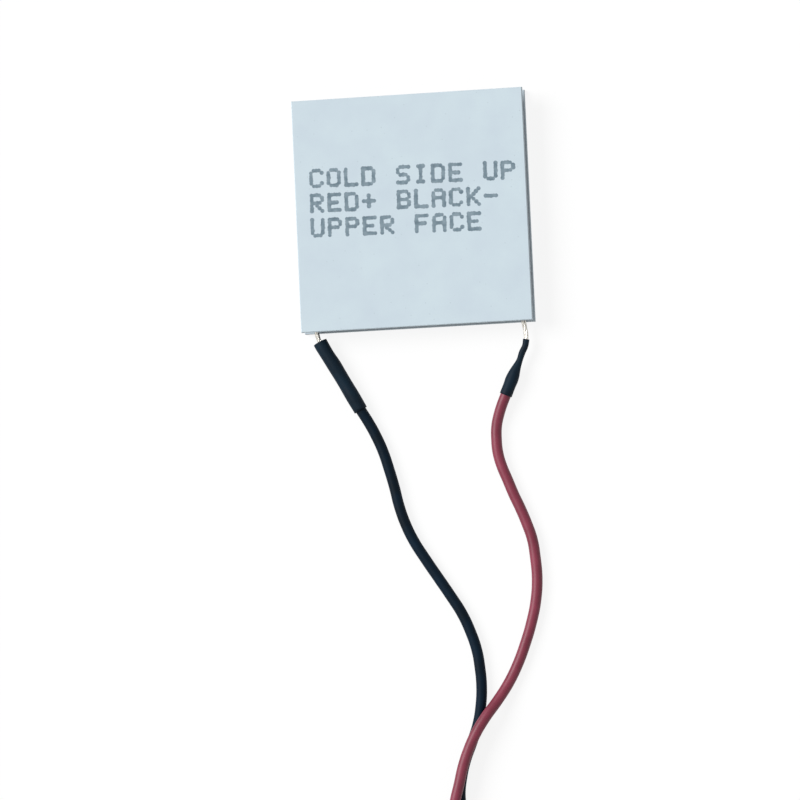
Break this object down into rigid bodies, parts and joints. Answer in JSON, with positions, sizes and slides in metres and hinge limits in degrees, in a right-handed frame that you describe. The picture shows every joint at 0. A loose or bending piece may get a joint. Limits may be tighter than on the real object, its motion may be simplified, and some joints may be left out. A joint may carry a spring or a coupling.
{
  "type": "thermoelectric cooling module",
  "caption": "Thin square heat pump: pellets and copper tabs between two pale ceramic plates, with a black and a red lead from one edge.",
  "frame": {"origin": "centre of the hot plate's underside", "axes": "+Z from the hot plate up to the cold plate's face, +X towards the red lead's side, and the leads leave towards -Y"},
  "size_m": [0.0342, 0.1112, 0.0036],
  "materials": {
    "alumina": "matte",
    "copper": "satin",
    "p_alloy": "satin",
    "n_alloy": "satin",
    "solder": "satin",
    "tinned_copper": "satin",
    "black_insulation": "satin",
    "red_insulation": "satin",
    "shrink_sleeve": "satin",
    "coiled_leads": "satin",
    "tie_plastic": "satin"
  },
  "bodies": {
    "root": {"hot_plate": "alumina", "cold_plate": "alumina", "hot_tabs_strip_1": "copper", "hot_tabs_strip_2": "copper", "hot_tabs_strip_3": "copper", "hot_tabs_strip_4": "copper", "hot_tabs_strip_5": "copper", "hot_tabs_strip_6": "copper", "hot_tabs_strip_7": "copper", "hot_tabs_strip_8": "copper", "terminal_pads": "copper", "p_pellets_strip_1": "p_alloy", "p_pellets_strip_2": "p_alloy", "p_pellets_strip_3": "p_alloy", "p_pellets_strip_4": "p_alloy", "p_pellets_strip_5": "p_alloy", "p_pellets_strip_6": "p_alloy", "p_pellets_strip_7": "p_alloy", "p_pellets_strip_8": "p_alloy", "n_pellets_strip_1": "n_alloy", "n_pellets_strip_2": "n_alloy", "n_pellets_strip_3": "n_alloy", "n_pellets_strip_4": "n_alloy", "n_pellets_strip_5": "n_alloy", "n_pellets_strip_6": "n_alloy", "n_pellets_strip_7": "n_alloy", "n_pellets_strip_8": "n_alloy", "cold_tabs_strip_1": "copper", "cold_tabs_strip_2": "copper", "cold_tabs_strip_3": "copper", "cold_tabs_strip_4": "copper", "cold_tabs_strip_5": "copper", "cold_tabs_strip_6": "copper", "cold_tabs_strip_7": "copper", "cold_tabs_front": "copper", "cold_tabs_back": "copper", "hot_solder": "solder", "cold_solder": "solder", "lead_solder": "solder", "black_conductor": "tinned_copper", "red_conductor": "tinned_copper", "black_sleeve": "shrink_sleeve", "red_sleeve": "shrink_sleeve", "black_lead": "black_insulation", "red_lead": "red_insulation", "lead_coil": "coiled_leads", "coil_tie": "tie_plastic", "tinned_ends": "tinned_copper"}
  },
  "joints": []
}
